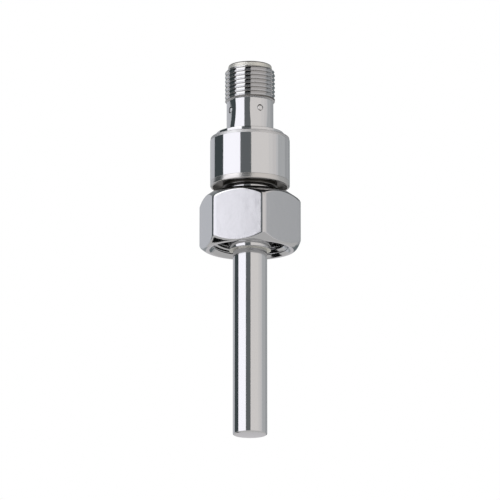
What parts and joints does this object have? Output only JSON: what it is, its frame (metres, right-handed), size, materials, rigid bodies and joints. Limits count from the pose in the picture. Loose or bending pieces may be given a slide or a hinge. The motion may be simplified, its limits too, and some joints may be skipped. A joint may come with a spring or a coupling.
{
  "type": "temperature probe",
  "caption": "Stainless steel temperature probe: closed sensing rod, stem with a loose union nut, round body and a threaded plug connector with contact pins.",
  "frame": {"origin": "on the probe's axis, in the plane of the collar's end, where the rod comes out of the stem", "axes": "+Z along the axis from the rod's tip towards the connector; -Y towards one flat of the union nut at rest; +Y towards the coding rib of the connector"},
  "size_m": [0.0252, 0.022, 0.0908],
  "materials": {
    "steel_polished": "fine-turned and polished stainless steel",
    "steel_tumbled": "tumbled satin stainless steel",
    "washer_plastic": "natural bearing plastic",
    "carrier_plastic": "black moulded glass-filled polyamide",
    "seal_rubber": "black fluorocarbon rubber",
    "gold_contact": "gold-plated brass",
    "board_laminate": "green solder-masked glass laminate",
    "wire_insulation": "white fluoropolymer insulation",
    "tinned_copper": "tinned crimp and lead metal",
    "chip_ceramic": "white alumina with a glass cover",
    "sleeve_plastic": "translucent fluoropolymer sleeve",
    "filling_paste": "grey heat-conducting filling",
    "potting_resin": "black cast resin"
  },
  "bodies": {
    "probe": {"connector_housing": "steel_polished", "base_ring": "steel_polished", "stem": "steel_polished", "probe_tube": "steel_polished", "flange_seal": "seal_rubber", "contact_carrier": "carrier_plastic", "carrier_seal": "seal_rubber", "contact_pin_1": "gold_contact", "contact_pin_2": "gold_contact", "contact_pin_3": "gold_contact", "contact_pin_4": "gold_contact", "terminal_board": "board_laminate", "potting": "potting_resin", "lead_wire_1": "wire_insulation", "lead_wire_2": "wire_insulation", "lead_wire_3": "wire_insulation", "lead_wire_4": "wire_insulation", "crimp_sleeve_1": "tinned_copper", "crimp_sleeve_2": "tinned_copper", "element_lead_1": "tinned_copper", "element_lead_2": "tinned_copper", "sensing_element": "chip_ceramic", "insulating_sleeve": "sleeve_plastic", "tip_filling": "filling_paste"},
    "washer": {"thrust_washer": "washer_plastic"},
    "nut": {"union_nut": "steel_tumbled"}
  },
  "joints": [
    {"name": "nut_float", "type": "slide", "parent": "probe", "child": "washer", "axis": [0, 0, 1], "range_m": [0, 0.0016]},
    {"name": "nut_spin", "type": "hinge", "parent": "washer", "child": "nut", "pos_m": [0, 0, 0.0107], "axis": [0, 0, 1], "continuous": true}
  ]
}
